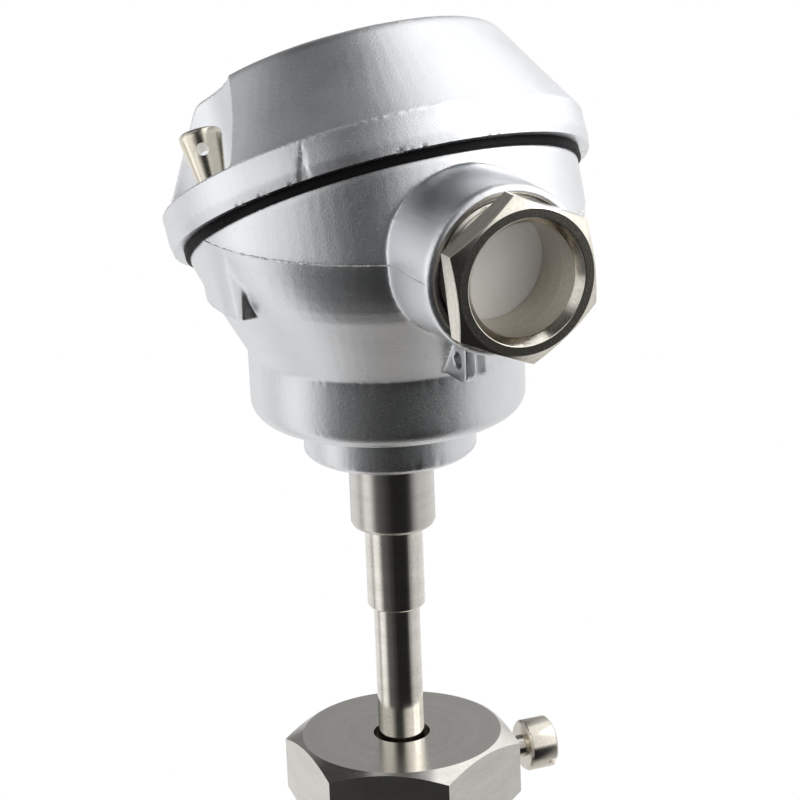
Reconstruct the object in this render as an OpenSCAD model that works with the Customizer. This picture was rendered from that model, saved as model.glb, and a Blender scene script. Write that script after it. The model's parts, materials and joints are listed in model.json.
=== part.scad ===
// Resistance thermometer probe with an inclined-lid connection head, a stepped
// neck and an 8 mm probe tube that stands in a screw-in pocket.
// Origin: centre of the pocket's sealing face. +Z runs up the probe axis and
// +X points along the cable gland.

/* [Pocket] */
// Width across the flats of the pocket's hexagon
hex_af = 36; // [32:1:46]
// Height of the pocket's hexagon
hex_h = 13; // [12:0.5:20]
// Outer diameter of the process thread
thread_d = 26.44; // [22:0.01:32]
// Length of the process thread
thread_l = 16; // [12:0.5:24]
// Depth from the sealing face to the pocket's tip
pocket_depth = 120; // [100:5:250]
// Outer diameter of the pocket tube
pocket_tube_d = 11; // [10.5:0.1:14]
// Wall of the pocket tube
pocket_wall = 1.1; // [0.8:0.05:1.2]
// Turn of the pocket about the probe axis, in degrees
pocket_turn = -3.7; // [-30:0.1:30]

/* [Clamp screw] */
// Thread diameter of the clamp screw
clamp_d = 4; // [3:0.5:6]
// Diameter of the clamp screw's head
clamp_head_d = 9.2; // [8:0.1:11]
// Length of the clamp screw's head
clamp_head_l = 5.2; // [4:0.1:8]
// Neck that shows between the hexagon and the screw's head
clamp_neck = 5; // [2:0.1:8]
// Height of the clamp screw's axis above the sealing face
clamp_z = 5.4; // [5:0.1:7]

/* [Probe and neck] */
// Diameter of the probe tube
probe_d = 8; // [6:0.1:8.4]
// Wall of the probe tube
probe_wall = 0.75; // [0.5:0.05:1.2]
// Length of probe tube that shows above the pocket
probe_show = 24.3; // [10:0.1:40]
// Diameter of the sleeve above the probe tube
sleeve_d = 10; // [9.6:0.1:11]
// Length of sleeve that shows below the collar
sleeve_show = 14.9; // [8:0.1:30]
// Diameter of the collar above the sleeve
collar_d = 14.6; // [13:0.1:18]
// Length of collar that shows below the head
collar_show = 13.9; // [8:0.1:30]

/* [Head body] */
// Wall of the cylindrical foot round the terminal block
foot_wall = 2.25; // [2:0.05:4]
// Height of the cylindrical foot
foot_h = 12; // [10:0.1:16]
// Diameter of the boss below the foot
boss_d = 29.6; // [28:0.1:34]
// Height of the boss below the foot
boss_h = 7.4; // [5:0.1:10]
// Diameter of the bowl at the parting plane
bowl_d = 67; // [65:0.1:72]
// Shift of the bowl's centre towards the gland at the parting plane
bowl_shift = 1.6; // [0:0.1:3]
// Height of the parting plane above the foot
bowl_h = 23.8; // [22:0.1:28]
// Wall of the casting
cast_wall = 2.6; // [2:0.1:3.2]
// Neck thread diameter in the head
neck_thread_d = 24; // [20:0.5:26]

/* [Lid] */
// Tilt of the lid plane
lid_tilt = 30; // [25:1:35]
// Outer diameter of the lid
lid_d = 72.4; // [71:0.1:76]
// Overhang of the lid past the head's mouth
lid_lip = 2.8; // [1:0.1:3]
// Height of the lid's rim
rim_h = 6.1; // [5:0.1:8]
// Height of the cone above the rim
cone_h = 17.2; // [14:0.1:20]
// Diameter at the top of the cone
crown_d = 52.6; // [48:0.1:58]
// Rise of the crowned top
crown_rise = 1.6; // [0.5:0.1:3]
// Thickness of the lid gasket
gasket_t = 2; // [1:0.1:3]
// Distance of a lid screw from the lid's edge
screw_inset = 7.4; // [7:0.1:8]
// Diameter of a lid screw's head
screw_head_d = 7.2; // [6:0.1:8]
// Height of a lid screw's head
screw_head_h = 10.4; // [6:0.1:12]
// Shank diameter of a lid screw
screw_shank_d = 4.2; // [3.4:0.1:4.6]
// Radius of the scoop that clears each lid screw
scoop_r = 19.5; // [16:0.5:24]

/* [Cable gland] */
// Height of the gland's axis above the top of the pocket
gland_z = 96.2; // [94:0.1:98]
// Reach of the gland boss from the probe axis
gland_reach = 45.3; // [44:0.1:50]
// Diameter of the gland boss at its end
gland_boss_d = 28.3; // [28:0.1:31]
// Outer diameter of the gland thread
gland_thread_d = 22.5; // [21:0.1:23.5]
// Bore through the gland screw
gland_bore_d = 18.5; // [16:0.1:19]
// Width across the flats of the gland screw
gland_af = 24.5; // [24:0.1:27]
// Thickness of the gland screw's hexagon
gland_hex_t = 4.2; // [3:0.1:6]
// Gap between the boss and the gland screw's hexagon
gland_gap = 2.5; // [1:0.1:4]
// Turn of the gland screw about its axis, in degrees
gland_turn = -24.4; // [-30:0.1:30]

/* [Terminal block] */
// Diameter of the ceramic terminal base
block_d = 41.6; // [40:0.1:42]
// Thickness of the ceramic base
block_t = 6; // [5:0.1:8]
// Distance between the two mounting screws
block_pitch = 33; // [32:0.5:34]
// Distance of a terminal from the probe axis
post_reach = 12.4; // [11.5:0.1:13.5]
// Side of a square brass terminal
post_w = 6.4; // [5.5:0.1:7]

/* [Hidden] */

$fn = 96;
e = 0.01;              // overshoot of a cut past a face
run = 0.05;            // radial clearance of a part that turns or slides
gap = 0.1;             // gap between loose neighbours

// Heights along the probe axis
sleeve_z = hex_h + probe_show;
collar_z = sleeve_z + sleeve_show;
boss_z = collar_z + collar_show;
foot_z = boss_z + boss_h;
bowl_z = foot_z + foot_h;
parting_z = bowl_z + bowl_h;
gland_axis_z = hex_h + gland_z;
floor_z = foot_z + 3.5;
block_z = floor_z + gap;
block_top = block_z + block_t;

// Radii
hex_r = hex_af / 2;
probe_r = probe_d / 2;
probe_bore_r = probe_r - probe_wall;
sleeve_r = sleeve_d / 2;
bowl_r = bowl_d / 2;
block_fit = 0.4;       // radial gap round the terminal block
foot_d = block_d + 2 * (block_fit + foot_wall);
foot_r = foot_d / 2;
lid_r = lid_d / 2;
mouth_r = lid_r - lid_lip;
screw_reach = lid_r - screw_inset;
crown_r = crown_d / 2;
lead_r = 0.55;
neck_thread_r = neck_thread_d / 2;

// Lid frame: its origin is the centre of the head's mouth, its z is the lid's axis
mouth_x = bowl_shift - 0.1;
mouth_z = parting_z - 1.1;
gasket_seat = 0.05;
lid_h0 = gasket_seat + gasket_t + gasket_seat;
shelf_h = lid_h0 + rim_h;
cone_top = shelf_h + cone_h;
lid_wall = cast_wall;
gasket_r = mouth_r + 0.7;
gasket_w = 2.4;
scoop_y = screw_reach - 5.8 + scoop_r;

// Places a child in the lid frame
module on_lid() {
    translate([mouth_x, 0, mouth_z]) rotate([0, -lid_tilt, 0]) children();
}

// Places a child at both lid screws
module at_screw(side) {
    on_lid() translate([0, side * screw_reach, 0]) children();
}

// Regular hexagonal prism with its flats square to x
module hexagon(af, h) {
    rotate(30) cylinder(r = af / 2 / cos(30), h = h, $fn = 6);
}

// Hexagonal prism whose corners are turned to a cone at the chosen ends
module turned_hex(af, h, below, above) {
    rc = af / 2 / cos(30);
    turned = 0.484 * af;
    drop = (rc + 0.2 - turned) * tan(30);
    intersection() {
        hexagon(af, h);
        rotate_extrude()
            polygon([[0, 0], [below ? turned : rc + 0.2, 0], [rc + 0.2, below ? drop : 0],
                     [rc + 0.2, above ? h - drop : h], [above ? turned : rc + 0.2, h], [0, h]]);
    }
}

// Solid of revolution from a profile given as points
module turned(points) {
    rotate_extrude() polygon(points);
}

// Round rod between two points
module rod(a, b, r) {
    d = b - a;
    len = norm(d);
    translate(a) rotate([0, acos(d[2] / len), atan2(d[1], d[0])])
        cylinder(r = r, h = len, $fn = 16);
}

// ---- pocket -------------------------------------------------------------

mouth_bore_r = sleeve_r - 0.05;
guide_r = probe_r + run;
tube_socket = 10;
thread_chamfer = 1.5;

module pocket_frame() {
    rotate(pocket_turn) children();
}

module pocket_body() {
    thread_r = thread_d / 2;
    color("#a8a8a2") pocket_frame() difference() {
        union() {
            rotate(30) turned_hex(hex_af, hex_h, true, true);
            turned([[0, e], [thread_r, e], [thread_r, thread_chamfer - thread_l],
                    [thread_r - thread_chamfer, -thread_l], [0, -thread_l]]);
        }
        translate([0, 0, -thread_l - 1]) cylinder(r = guide_r, h = thread_l + hex_h + 2);
        translate([0, 0, hex_h - 4]) cylinder(r = mouth_bore_r, h = 5);
        translate([0, 0, -thread_l - 1]) cylinder(r = pocket_tube_d / 2, h = tube_socket + 1);
        translate([0, 0, clamp_z]) rotate([-90, 0, 0]) cylinder(r = clamp_d / 2 + run, h = hex_af);
    }
}

module pocket_tube() {
    r = pocket_tube_d / 2;
    top = tube_socket - thread_l;
    tip = -pocket_depth;
    color("#b4b4b0") difference() {
        turned([[0, tip], [r - 1.5, tip], [r, tip + 1.5], [r, top], [0, top]]);
        translate([0, 0, tip + 2]) cylinder(r = r - pocket_wall, h = pocket_depth);
    }
}

module clamp_screw() {
    tip = probe_r + gap;
    head = hex_r + clamp_neck;
    end = head + clamp_head_l;
    r = clamp_d / 2;
    color("#d8d0bc") pocket_frame() translate([0, 0, clamp_z]) rotate([-90, 0, 0]) difference() {
        turned([[0, tip], [r - 0.6, tip], [r, tip + 0.6], [r, head],
                [clamp_head_d / 2 - 0.4, head], [clamp_head_d / 2, head + 0.4],
                [clamp_head_d / 2, end - 0.4], [clamp_head_d / 2 - 0.4, end], [0, end]]);
        rotate(30) translate([-clamp_head_d, -0.6, end - 1.8]) cube([2 * clamp_head_d, 1.2, 2]);
    }
}

// ---- probe --------------------------------------------------------------

probe_tip = -pocket_depth + 2.3;
tip_wall = 1;
probe_top = floor_z - 6;

module probe_tube() {
    color("#b9b7b1") difference() {
        turned([[0, probe_tip], [probe_r - 1, probe_tip], [probe_r, probe_tip + 1],
                [probe_r, probe_top], [0, probe_top]]);
        translate([0, 0, probe_tip + tip_wall]) cylinder(r = probe_bore_r, h = probe_top - probe_tip);
    }
}

element_z = probe_tip + tip_wall + 0.3;
element_l = 22;

module sensing_element() {
    color("#f0ece0") difference() {
        translate([0, 0, element_z]) cylinder(r = 1.6, h = element_l);
        for (x = [-0.7, 0.7])
            translate([x, 0, element_z + element_l - 3]) cylinder(r = 0.3, h = 4, $fn = 16);
    }
}

// Path of one lead, up the probe tube and out into its terminal
post_corner = post_reach * cos(45) - post_w / 2;
lead_foot = [0.8, 0.8, element_z + element_l + 0.2];
lead_rise = [0.8, 0.8, block_top + 1.5];
lead_end = [post_corner + 1.2, post_corner + 1.2, block_top + 5.5];

// Two leads that rise inside the probe tube and bend out to two terminals
module leads(turn) {
    for (a = [0, 90]) rotate(turn + a) {
        rod(lead_foot, lead_rise, lead_r);
        translate(lead_rise) sphere(r = lead_r + 0.06, $fn = 24);
        rod(lead_rise, lead_end, lead_r);
    }
}

module lead_wires_red() { color("#b8322a") leads(0); }
module lead_wires_white() { color("#e8e6e0") leads(180); }

module neck_sleeve() {
    top = boss_z + 2;
    color("#bdbab2") difference() {
        turned([[0, sleeve_z], [sleeve_r - 0.3, sleeve_z], [sleeve_r, sleeve_z + 0.3],
                [sleeve_r, top], [0, top]]);
        translate([0, 0, sleeve_z - 1]) cylinder(r = probe_r, h = top);
    }
}

module neck_adapter() {
    r = collar_d / 2;
    tr = neck_thread_r - run;
    z1 = boss_z + 0.4;
    top = floor_z - 1.5;
    color("#bfbcb4") difference() {
        turned([[0, collar_z], [r - 1, collar_z], [r - 0.3, collar_z + 0.3], [r, collar_z + 1],
                [r, z1], [tr - 1, z1], [tr, z1 + 1], [tr, top - 1], [tr - 1, top], [0, top]]);
        translate([0, 0, collar_z - 1]) cylinder(r = sleeve_r, h = boss_z + 2 - collar_z + 1);
        translate([0, 0, collar_z]) cylinder(r = probe_r, h = top);
    }
}

// ---- head body ----------------------------------------------------------

bowl_slope = 32.6;
bowl_round = 23.6;
foot_round = 3;
inner_shift = bowl_shift - 0.6;
mouth_wall = 2.8;

// Radius and height of the bowl's outline where its slope has fallen to a
function bowl_point(a) = [bowl_r - bowl_round * (1 - cos(a)), parting_z - bowl_round * sin(a)];

// Outline of the bowl's hollow, moved out by t
function hollow_profile(t) = concat(
    [[0, bowl_z - 1], [foot_r - foot_wall - 0.8 + t, bowl_z - 1]],
    [for (i = [6:-1:0]) let (p = bowl_point(bowl_slope * i / 6)) [p[0] - cast_wall - 0.4 + t, p[1]]],
    [[0, parting_z]]);

// Thin horizontal slice of the bowl
module bowl_slice(r, z) {
    translate([bowl_shift * (z - bowl_z) / bowl_h, 0, z - 0.05]) cylinder(r = r, h = 0.05);
}

// Bowl that leans from the round foot to the inclined mouth
module bowl() {
    hull() {
        bowl_slice(foot_r, bowl_z + 0.05);
        for (i = [6:-1:0]) let (p = bowl_point(bowl_slope * i / 6)) bowl_slice(p[0], p[1]);
        on_lid() translate([0, 0, -0.4]) cylinder(r = mouth_r, h = 0.4);
    }
}

// Hollow between the parting plane and the inclined mouth
module throat() {
    hull() {
        on_lid() translate([0, 0, -1]) intersection() {
            cylinder(r = mouth_r - mouth_wall, h = 6);
            translate([0, -100, -1]) cube([100, 200, 20]);
        }
        translate([0, 0, parting_z - 0.2]) intersection() {
            translate([inner_shift, 0, 0]) cylinder(r = bowl_r - cast_wall - 0.6, h = 1);
            translate([mouth_x, -100, -1]) cube([100, 200, 3]);
        }
    }
    on_lid() translate([0, 0, -2.5]) cylinder(r = mouth_r - mouth_wall + 0.05, h = 10);
}

// Lug that carries a lid screw, drawn straight down from the parting plane
module screw_lug(side) {
    top_r = bowl_r + 0.05;
    low_r = screw_reach + 3.6;
    hull() {
        translate([0, 0, parting_z - 1]) linear_extrude(0.8) scale([1, side])
            polygon(concat([[12, 20], [-4, 20]],
                [for (x = [-4:3.2:8.8]) [x, sqrt(top_r * top_r - pow(x - bowl_shift, 2))]],
                [[12, top_r - 2.7]]));
        translate([0, 0, parting_z - 12]) linear_extrude(1) scale([1, side])
            polygon([[11.7, 20], [-1.4, 20], [-1.4, low_r - 1.4], [-0.9, low_r - 0.5], [2.1, low_r - 0.1],
                     [7.7, low_r], [10.8, low_r - 0.8], [11.7, low_r - 1.4]]);
    }
}

gland_end = gland_reach;
gland_seat_x = 32;
gland_wall_x = 28.5;

module gland_axis() {
    translate([0, 0, gland_axis_z]) rotate([0, 90, 0]) children();
}

module gland_boss() {
    r = gland_boss_d / 2;
    root_x = bowl_r - 1;
    gland_axis() turned([[0, 20], [r + 0.1, 20], [r + 0.1, root_x],
                         [r, gland_end - 1.2], [r - 0.3, gland_end - 0.4], [r - 0.9, gland_end],
                         [0, gland_end]]);
}

// External earth lug: two ears under the gland boss
module earth_lug() {
    for (y = [-1.4, 1]) {
        reach = y < 0 ? 32.4 : 31.2;
        low = bowl_z + 1.2;
        translate([0, y, 0]) rotate([90, 0, 0]) mirror([0, 0, 1]) linear_extrude(y < 0 ? 1.8 : 2.2)
            polygon([[20, low], [reach - 1.6, low + 0.1], [reach - 0.5, low + 0.6], [reach, low + 1.6],
                     [reach, bowl_z + 13], [20, bowl_z + 13]]);
    }
}

module head_outside() {
    foot = [[0, foot_z], [foot_r - foot_round, foot_z],
            for (i = [1:6]) let (a = 90 * i / 6)
                [foot_r - foot_round + foot_round * sin(a), foot_z + foot_round - foot_round * cos(a)],
            [foot_r, bowl_z], [0, bowl_z]];
    turned(foot);
    turned([[0, boss_z], [boss_d / 2 - 0.7, boss_z], [boss_d / 2, boss_z + 0.7],
            [boss_d / 2, foot_z + 1], [0, foot_z + 1]]);
    bowl();
    screw_lug(-1);
    screw_lug(1);
    gland_boss();
    earth_lug();
}

module head_inside() {
    translate([0, 0, floor_z]) cylinder(r = foot_r - foot_wall, h = bowl_z - floor_z);
    translate([inner_shift, 0, 0]) turned(hollow_profile(0));
    throat();
}

screw_hole = 10.5;
earth_a = 45;
earth_r = bowl_r - 9.05;
earth_z = bowl_z + 12;

module head_body() {
    color("#c4c7ca") difference() {
        union() {
            difference() {
                head_outside();
                head_inside();
                // the mouth plane
                on_lid() translate([-foot_d, -foot_d, 0]) cube([2 * foot_d, 2 * foot_d, foot_d]);
            }
            // pillars that take the lid screws
            intersection() {
                union() {
                    for (s = [-1, 1]) at_screw(s) translate([0, 0, -screw_hole - 1.5])
                        cylinder(r = 3.5, h = screw_hole + 1.5);
                }
                translate([0, 0, parting_z - 11.8]) cylinder(r = bowl_r + 1, h = 20);
            }
            // seat of the gland seal
            gland_axis() translate([0, 0, gland_wall_x])
                cylinder(r = gland_thread_d / 2 + 2, h = gland_seat_x - gland_wall_x + 3);
            // pad for the inner earth screw
            intersection() {
                rotate(earth_a) translate([earth_r, 0, bowl_z + 3]) cylinder(r = 3.6, h = earth_z - bowl_z - 3);
                translate([inner_shift, 0, 0]) turned(hollow_profile(1.2));
            }
        }
        // neck thread
        translate([0, 0, boss_z - 1]) cylinder(r = neck_thread_r, h = floor_z - boss_z + 2);
        // gland thread, seat bore and recess
        gland_axis() translate([0, 0, gland_seat_x]) cylinder(r = gland_thread_d / 2, h = gland_reach);
        gland_axis() translate([0, 0, 20]) cylinder(r = gland_bore_d / 2 - 1, h = 20);
        gland_axis() translate([0, 0, gland_end - 1.6]) cylinder(r = gland_boss_d / 2 - 1.6, h = 5);
        // lid screw holes
        for (s = [-1, 1]) at_screw(s) translate([0, 0, -screw_hole])
            cylinder(r = screw_shank_d / 2 + run, h = screw_hole + 1);
        // block screw holes
        for (s = [-1, 1]) translate([0, s * block_pitch / 2, foot_z + 0.8]) cylinder(r = 1.7, h = 5, $fn = 32);
        // earth screw hole
        rotate(earth_a) translate([earth_r, 0, earth_z - 5]) cylinder(r = 1.7, h = 6, $fn = 32);
        // hole through the outer earth ear
        translate([29.4, -1, bowl_z + 4.8]) rotate([90, 0, 0]) cylinder(r = 1.3, h = 4, center = true, $fn = 32);
    }
}

// ---- terminal block -----------------------------------------------------

module at_posts() {
    for (a = [45:90:315]) rotate(a) translate([post_reach, 0, 0]) rotate(-45) children();
}

module terminal_block() {
    r = block_d / 2;
    color("#ece9e0") difference() {
        union() {
            translate([0, 0, block_z]) turned([[0, 0], [r, 0], [r, block_t - 0.8], [r - 0.8, block_t], [0, block_t]]);
            at_posts() translate([-post_w / 2 - 1, -post_w / 2 - 1, block_top - 1]) cube([post_w + 2, post_w + 2, 3.5]);
        }
        translate([0, 0, block_z - 1]) cylinder(r = probe_r, h = block_t + 2);
        for (s = [-1, 1]) translate([0, s * block_pitch / 2, block_z - 1]) cylinder(r = 2.2, h = block_t + 2, $fn = 48);
        at_posts() translate([-post_w / 2 - run, -post_w / 2 - run, block_top - 1])
            cube([post_w + 2 * run, post_w + 2 * run, 5]);
    }
}

post_h = 8.4;
post_z = block_top - 1;

module terminal_posts() {
    color("#c9a24b") difference() {
        at_posts() translate([-post_w / 2, -post_w / 2, post_z]) cube([post_w, post_w, post_h]);
        at_posts() for (s = [-1, 1]) translate([s * 1.5, 0, post_z + post_h - 4])
            cylinder(r = 1.2, h = 5, $fn = 24);
        // holes that take the leads
        for (a = [0:90:270]) rotate(a) rod(lead_rise, lead_rise + 1.06 * (lead_end - lead_rise), lead_r + run);
    }
}

module terminal_screws() {
    color("#cfcabd") at_posts() for (s = [-1, 1]) difference() {
        translate([s * 1.5, 0, post_z + post_h - 3.5]) turned([[0, 0], [1.15, 0], [1.15, 3.55], [1.35, 3.55], [1.35, 5.4], [0, 5.4]]);
        translate([s * 1.5 - 2, -0.25, post_z + post_h + 1.1]) cube([4, 0.5, 2]);
    }
}

spring_h = 4;

module block_screws() {
    color("#cfcabd") for (s = [-1, 1]) translate([0, s * block_pitch / 2, 0]) difference() {
        translate([0, 0, foot_z + 1.4]) {
            cylinder(r = 1.65, h = block_top + spring_h - foot_z, $fn = 48);
            translate([0, 0, block_top + spring_h - foot_z - 1.3]) cylinder(r = 3.4, h = 2.4, $fn = 48);
        }
        translate([-4, -0.4, block_top + spring_h + 1.5]) cube([8, 0.8, 3]);
    }
}

// Coil spring of stacked rings around each block screw
module block_springs() {
    wire = 0.45;
    color("#9a9a96") for (s = [-1, 1]) translate([0, s * block_pitch / 2, block_top + wire])
        for (i = [0:4]) translate([0, 0, i * (spring_h - 2 * wire) / 4])
            rotate_extrude($fn = 48) translate([2.6, 0]) circle(r = wire, $fn = 12);
}

module earth_screw() {
    color("#cfcabd") rotate(earth_a) translate([earth_r, 0, earth_z]) difference() {
        turned([[0, -4.6], [1.65, -4.6], [1.65, 0.7], [3, 0.7], [3, 2.4], [2.6, 2.9], [0, 2.9]]);
        translate([-4, -0.4, 1.7]) cube([8, 0.8, 2]);
    }
}

module earth_washer() {
    color("#d8d0bc") rotate(earth_a) translate([earth_r, 0, earth_z]) difference() {
        translate([0, 0, gap / 2]) cylinder(r = 3.4, h = 0.6, $fn = 48);
        translate([0, 0, -1]) cylinder(r = 1.8, h = 3, $fn = 48);
    }
}

// ---- lid ----------------------------------------------------------------

rim_round = 0.8;
crown_round = 1.6;

module lid() {
    cone_r = lid_r - 0.2;
    in_r = gasket_r - gasket_w - 0.5;
    slope = (cone_r - crown_r) / cone_h;
    hollow_top = cone_top - lid_wall;
    color("#c9cccf") difference() {
        on_lid() difference() {
            turned([[0, lid_h0], [lid_r - 0.7, lid_h0], [lid_r - 0.2, lid_h0 + 0.5],
                    [lid_r, lid_h0 + 1.4], [lid_r, shelf_h - 1.4], [cone_r + 0.3, shelf_h - 0.3], [cone_r - 0.1, shelf_h + 0.3],
                    [crown_r + 0.5, cone_top - 1.1], [crown_r - 0.2, cone_top - 0.2], [crown_r - 1.1, cone_top + 0.2],
                    [crown_r * 0.6, cone_top + crown_rise * 0.7], [0, cone_top + crown_rise]]);
            // scoops that clear the lid screws
            for (s = [-1, 1]) translate([0, s * scoop_y, shelf_h]) cylinder(r = scoop_r, h = cone_h + 10);
            // hollow
            difference() {
                turned([[0, lid_h0 - 1], [in_r, lid_h0 - 1], [in_r, shelf_h - 2],
                        [cone_r - lid_wall - 1.6 - slope * 1.5, shelf_h + 1.5],
                        [crown_r - lid_wall, hollow_top], [0, hollow_top]]);
                for (s = [-1, 1]) translate([0, s * scoop_y, lid_h0 - 2])
                    cylinder(r = scoop_r + lid_wall, h = cone_h + 20);
            }
            // screw holes
            for (s = [-1, 1]) translate([0, s * screw_reach, lid_h0 - 1])
                cylinder(r = screw_shank_d / 2 + gap, h = rim_h + 3);
        }
    }
}

module lid_gasket() {
    color("#26282a") on_lid() translate([0, 0, gasket_seat]) difference() {
        cylinder(r = gasket_r, h = gasket_t);
        translate([0, 0, -1]) cylinder(r = gasket_r - gasket_w, h = gasket_t + 2);
    }
}

clip_z = 0.9;
clip_t = 0.7;
groove_r = 1.5;
screw_turn = -25;

module lid_screw(side) {
    r = screw_head_d / 2;
    sr = screw_shank_d / 2;
    z0 = shelf_h + gap;
    top = z0 + screw_head_h;
    color("#d8d0bc") at_screw(side) difference() {
        turned([[0, 0.8 - screw_hole], [sr - 0.6, 0.8 - screw_hole], [sr, 1.4 - screw_hole],
                [sr, clip_z - gap], [groove_r, clip_z - gap], [groove_r, clip_z + clip_t + gap],
                [sr, clip_z + clip_t + gap], [sr, z0], [sr + 0.8, z0], [sr + 0.8, z0 + 0.7],
                [sr + 0.2, z0 + 0.9], [r, top - 1.2], [r, top - 0.4], [r - 0.4, top], [0, top]]);
        rotate(screw_turn) translate([0, 0, z0 + 6.8]) rotate([0, 90, 0])
            cylinder(r = 1.05, h = 20, center = true, $fn = 32);
        rotate(screw_turn) translate([-0.6, -10, top - 1.6]) cube([1.2, 20, 3]);
    }
}

module lid_screw_left() { lid_screw(-1); }
module lid_screw_right() { lid_screw(1); }

module lid_screw_clips() {
    color("#8c8c88") for (s = [-1, 1]) at_screw(s) translate([0, 0, clip_z]) difference() {
        cylinder(r = 2.5, h = clip_t, $fn = 48);
        translate([0, 0, -1]) cylinder(r = groove_r + gap, h = 3, $fn = 48);
        translate([-5, -1, -1]) cube([5, 2, 3]);
    }
}

// ---- gland --------------------------------------------------------------

seal_x = gland_seat_x + gap;
disc_t = 1.2;
washer_t = 0.8;
hex_x = gland_end + gland_gap;
seal_l = 5.2;
washer_x = seal_x + seal_l + gap;
disc_x = washer_x + washer_t + gap;
screw_x = disc_x + disc_t + gap;
loose_r = gland_thread_d / 2 - 0.25;

module gland_screw() {
    r = gland_thread_d / 2 - run;
    hex_end = hex_x + gland_hex_t;
    color("#cfc8b4") gland_axis() difference() {
        union() {
            translate([0, 0, hex_x]) rotate(gland_turn) turned_hex(gland_af, gland_hex_t, false, true);
            turned([[0, screw_x], [r - 0.8, screw_x], [r, screw_x + 0.8], [r, hex_x + e], [0, hex_x + e]]);
        }
        translate([0, 0, screw_x - 1]) cylinder(r = gland_bore_d / 2, h = 30);
        translate([0, 0, hex_end - 0.9]) cylinder(r1 = gland_bore_d / 2, r2 = gland_bore_d / 2 + 1.6, h = 0.9 + e);
    }
}

module gland_disc() {
    color("#b9b7b0") gland_axis() translate([0, 0, disc_x]) cylinder(r = loose_r, h = disc_t);
}

module gland_washer() {
    color("#b4b4b0") gland_axis() translate([0, 0, washer_x]) difference() {
        cylinder(r = loose_r, h = washer_t);
        translate([0, 0, -1]) cylinder(r = 6.2, h = washer_t + 2);
    }
}

module gland_seal() {
    color("#26282a") gland_axis() difference() {
        turned([[0, seal_x], [loose_r, seal_x], [loose_r, seal_x + seal_l - 0.8],
                [loose_r - 0.8, seal_x + seal_l], [0, seal_x + seal_l]]);
        translate([0, 0, seal_x - 1]) cylinder(r = 5.4, h = seal_l + 2);
    }
}

pocket_body();
pocket_tube();
clamp_screw();
probe_tube();
sensing_element();
lead_wires_red();
lead_wires_white();
neck_sleeve();
neck_adapter();
head_body();
terminal_block();
terminal_posts();
terminal_screws();
block_screws();
block_springs();
earth_screw();
earth_washer();
lid();
lid_gasket();
lid_screw_left();
lid_screw_right();
lid_screw_clips();
gland_screw();
gland_disc();
gland_washer();
gland_seal();
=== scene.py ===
# %% [markdown]
# # A resistance thermometer with a connection head
# The object is an industrial temperature probe. A steel tube slides in a screwed
# pocket, a short neck carries a cast connection head, and an inclined lid closes it.
# The solids come ready made in metres, so every look is built round their places.

import json
import math

import bmesh
import bpy
from mathutils import Matrix, Vector
from mathutils import noise as waves


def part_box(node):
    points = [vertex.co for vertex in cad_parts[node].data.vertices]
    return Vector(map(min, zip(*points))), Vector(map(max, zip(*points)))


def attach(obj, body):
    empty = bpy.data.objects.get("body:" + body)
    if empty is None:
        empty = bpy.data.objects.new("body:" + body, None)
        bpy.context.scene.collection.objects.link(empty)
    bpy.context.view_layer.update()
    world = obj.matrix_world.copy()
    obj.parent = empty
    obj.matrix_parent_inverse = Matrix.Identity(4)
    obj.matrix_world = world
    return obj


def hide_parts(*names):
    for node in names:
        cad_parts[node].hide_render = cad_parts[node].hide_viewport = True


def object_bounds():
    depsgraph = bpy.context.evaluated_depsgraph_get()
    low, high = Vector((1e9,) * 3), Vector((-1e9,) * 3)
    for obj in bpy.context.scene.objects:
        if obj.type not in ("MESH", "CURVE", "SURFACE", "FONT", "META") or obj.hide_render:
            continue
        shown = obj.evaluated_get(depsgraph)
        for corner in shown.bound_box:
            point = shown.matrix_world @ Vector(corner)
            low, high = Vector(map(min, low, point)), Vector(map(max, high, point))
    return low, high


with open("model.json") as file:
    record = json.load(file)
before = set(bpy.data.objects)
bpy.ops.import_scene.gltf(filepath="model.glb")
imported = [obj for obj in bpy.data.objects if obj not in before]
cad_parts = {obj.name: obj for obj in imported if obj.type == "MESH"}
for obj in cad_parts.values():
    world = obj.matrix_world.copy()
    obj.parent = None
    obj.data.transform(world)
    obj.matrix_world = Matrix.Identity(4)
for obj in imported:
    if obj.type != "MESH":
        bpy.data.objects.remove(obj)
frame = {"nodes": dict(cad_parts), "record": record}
cad_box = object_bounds()
scene = bpy.context.scene
scene.view_settings.view_transform = "Standard"
MM = 0.001
print("solids:", len(frame["nodes"]), "lowest point:", round(cad_box[0].z, 4))

# %% [markdown]
# ## Camera
# A long lens far from the object keeps the lid's ellipse honest. The camera stands
# a little above the head, looks down on it and leans by two degrees. A camera could be
# aimed with a Track To constraint, but a lean is awkward there. So its matrix is built
# from a place and three turns, in the order in which a tripod is set.

# %% Camera
heading, look_down, lean = (math.radians(a) for a in (64.332, 19.06, -2.25))
tripod = Matrix.Translation((0.54164, -0.25812, 0.28184))
lens = bpy.data.cameras.new("camera")
lens.sensor_width = 36
lens.lens = 167.62
lens.clip_start, lens.clip_end = 0.05, 20
camera = bpy.data.objects.new("camera", lens)
scene.collection.objects.link(camera)
camera.matrix_world = (
    tripod @ Matrix.Rotation(heading, 4, "Z")
    @ Matrix.Rotation(math.pi / 2 - look_down, 4, "X") @ Matrix.Rotation(lean, 4, "Z")
)
scene.camera = camera
aimed = camera.matrix_world.to_3x3() @ Vector((0, 0, -1))
print("camera looks along", [round(x, 3) for x in aimed])

# %% [markdown]
# ## A helper for node materials
# A finish is a small network of nodes. Writing one call per node keeps the network
# readable: an input is a number, a colour, or the output of an earlier node. A socket is
# meant by its name, or as _0, _1 by its number where several share a name. Values that
# are the same all over a surface go straight on the shader's socket.

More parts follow.
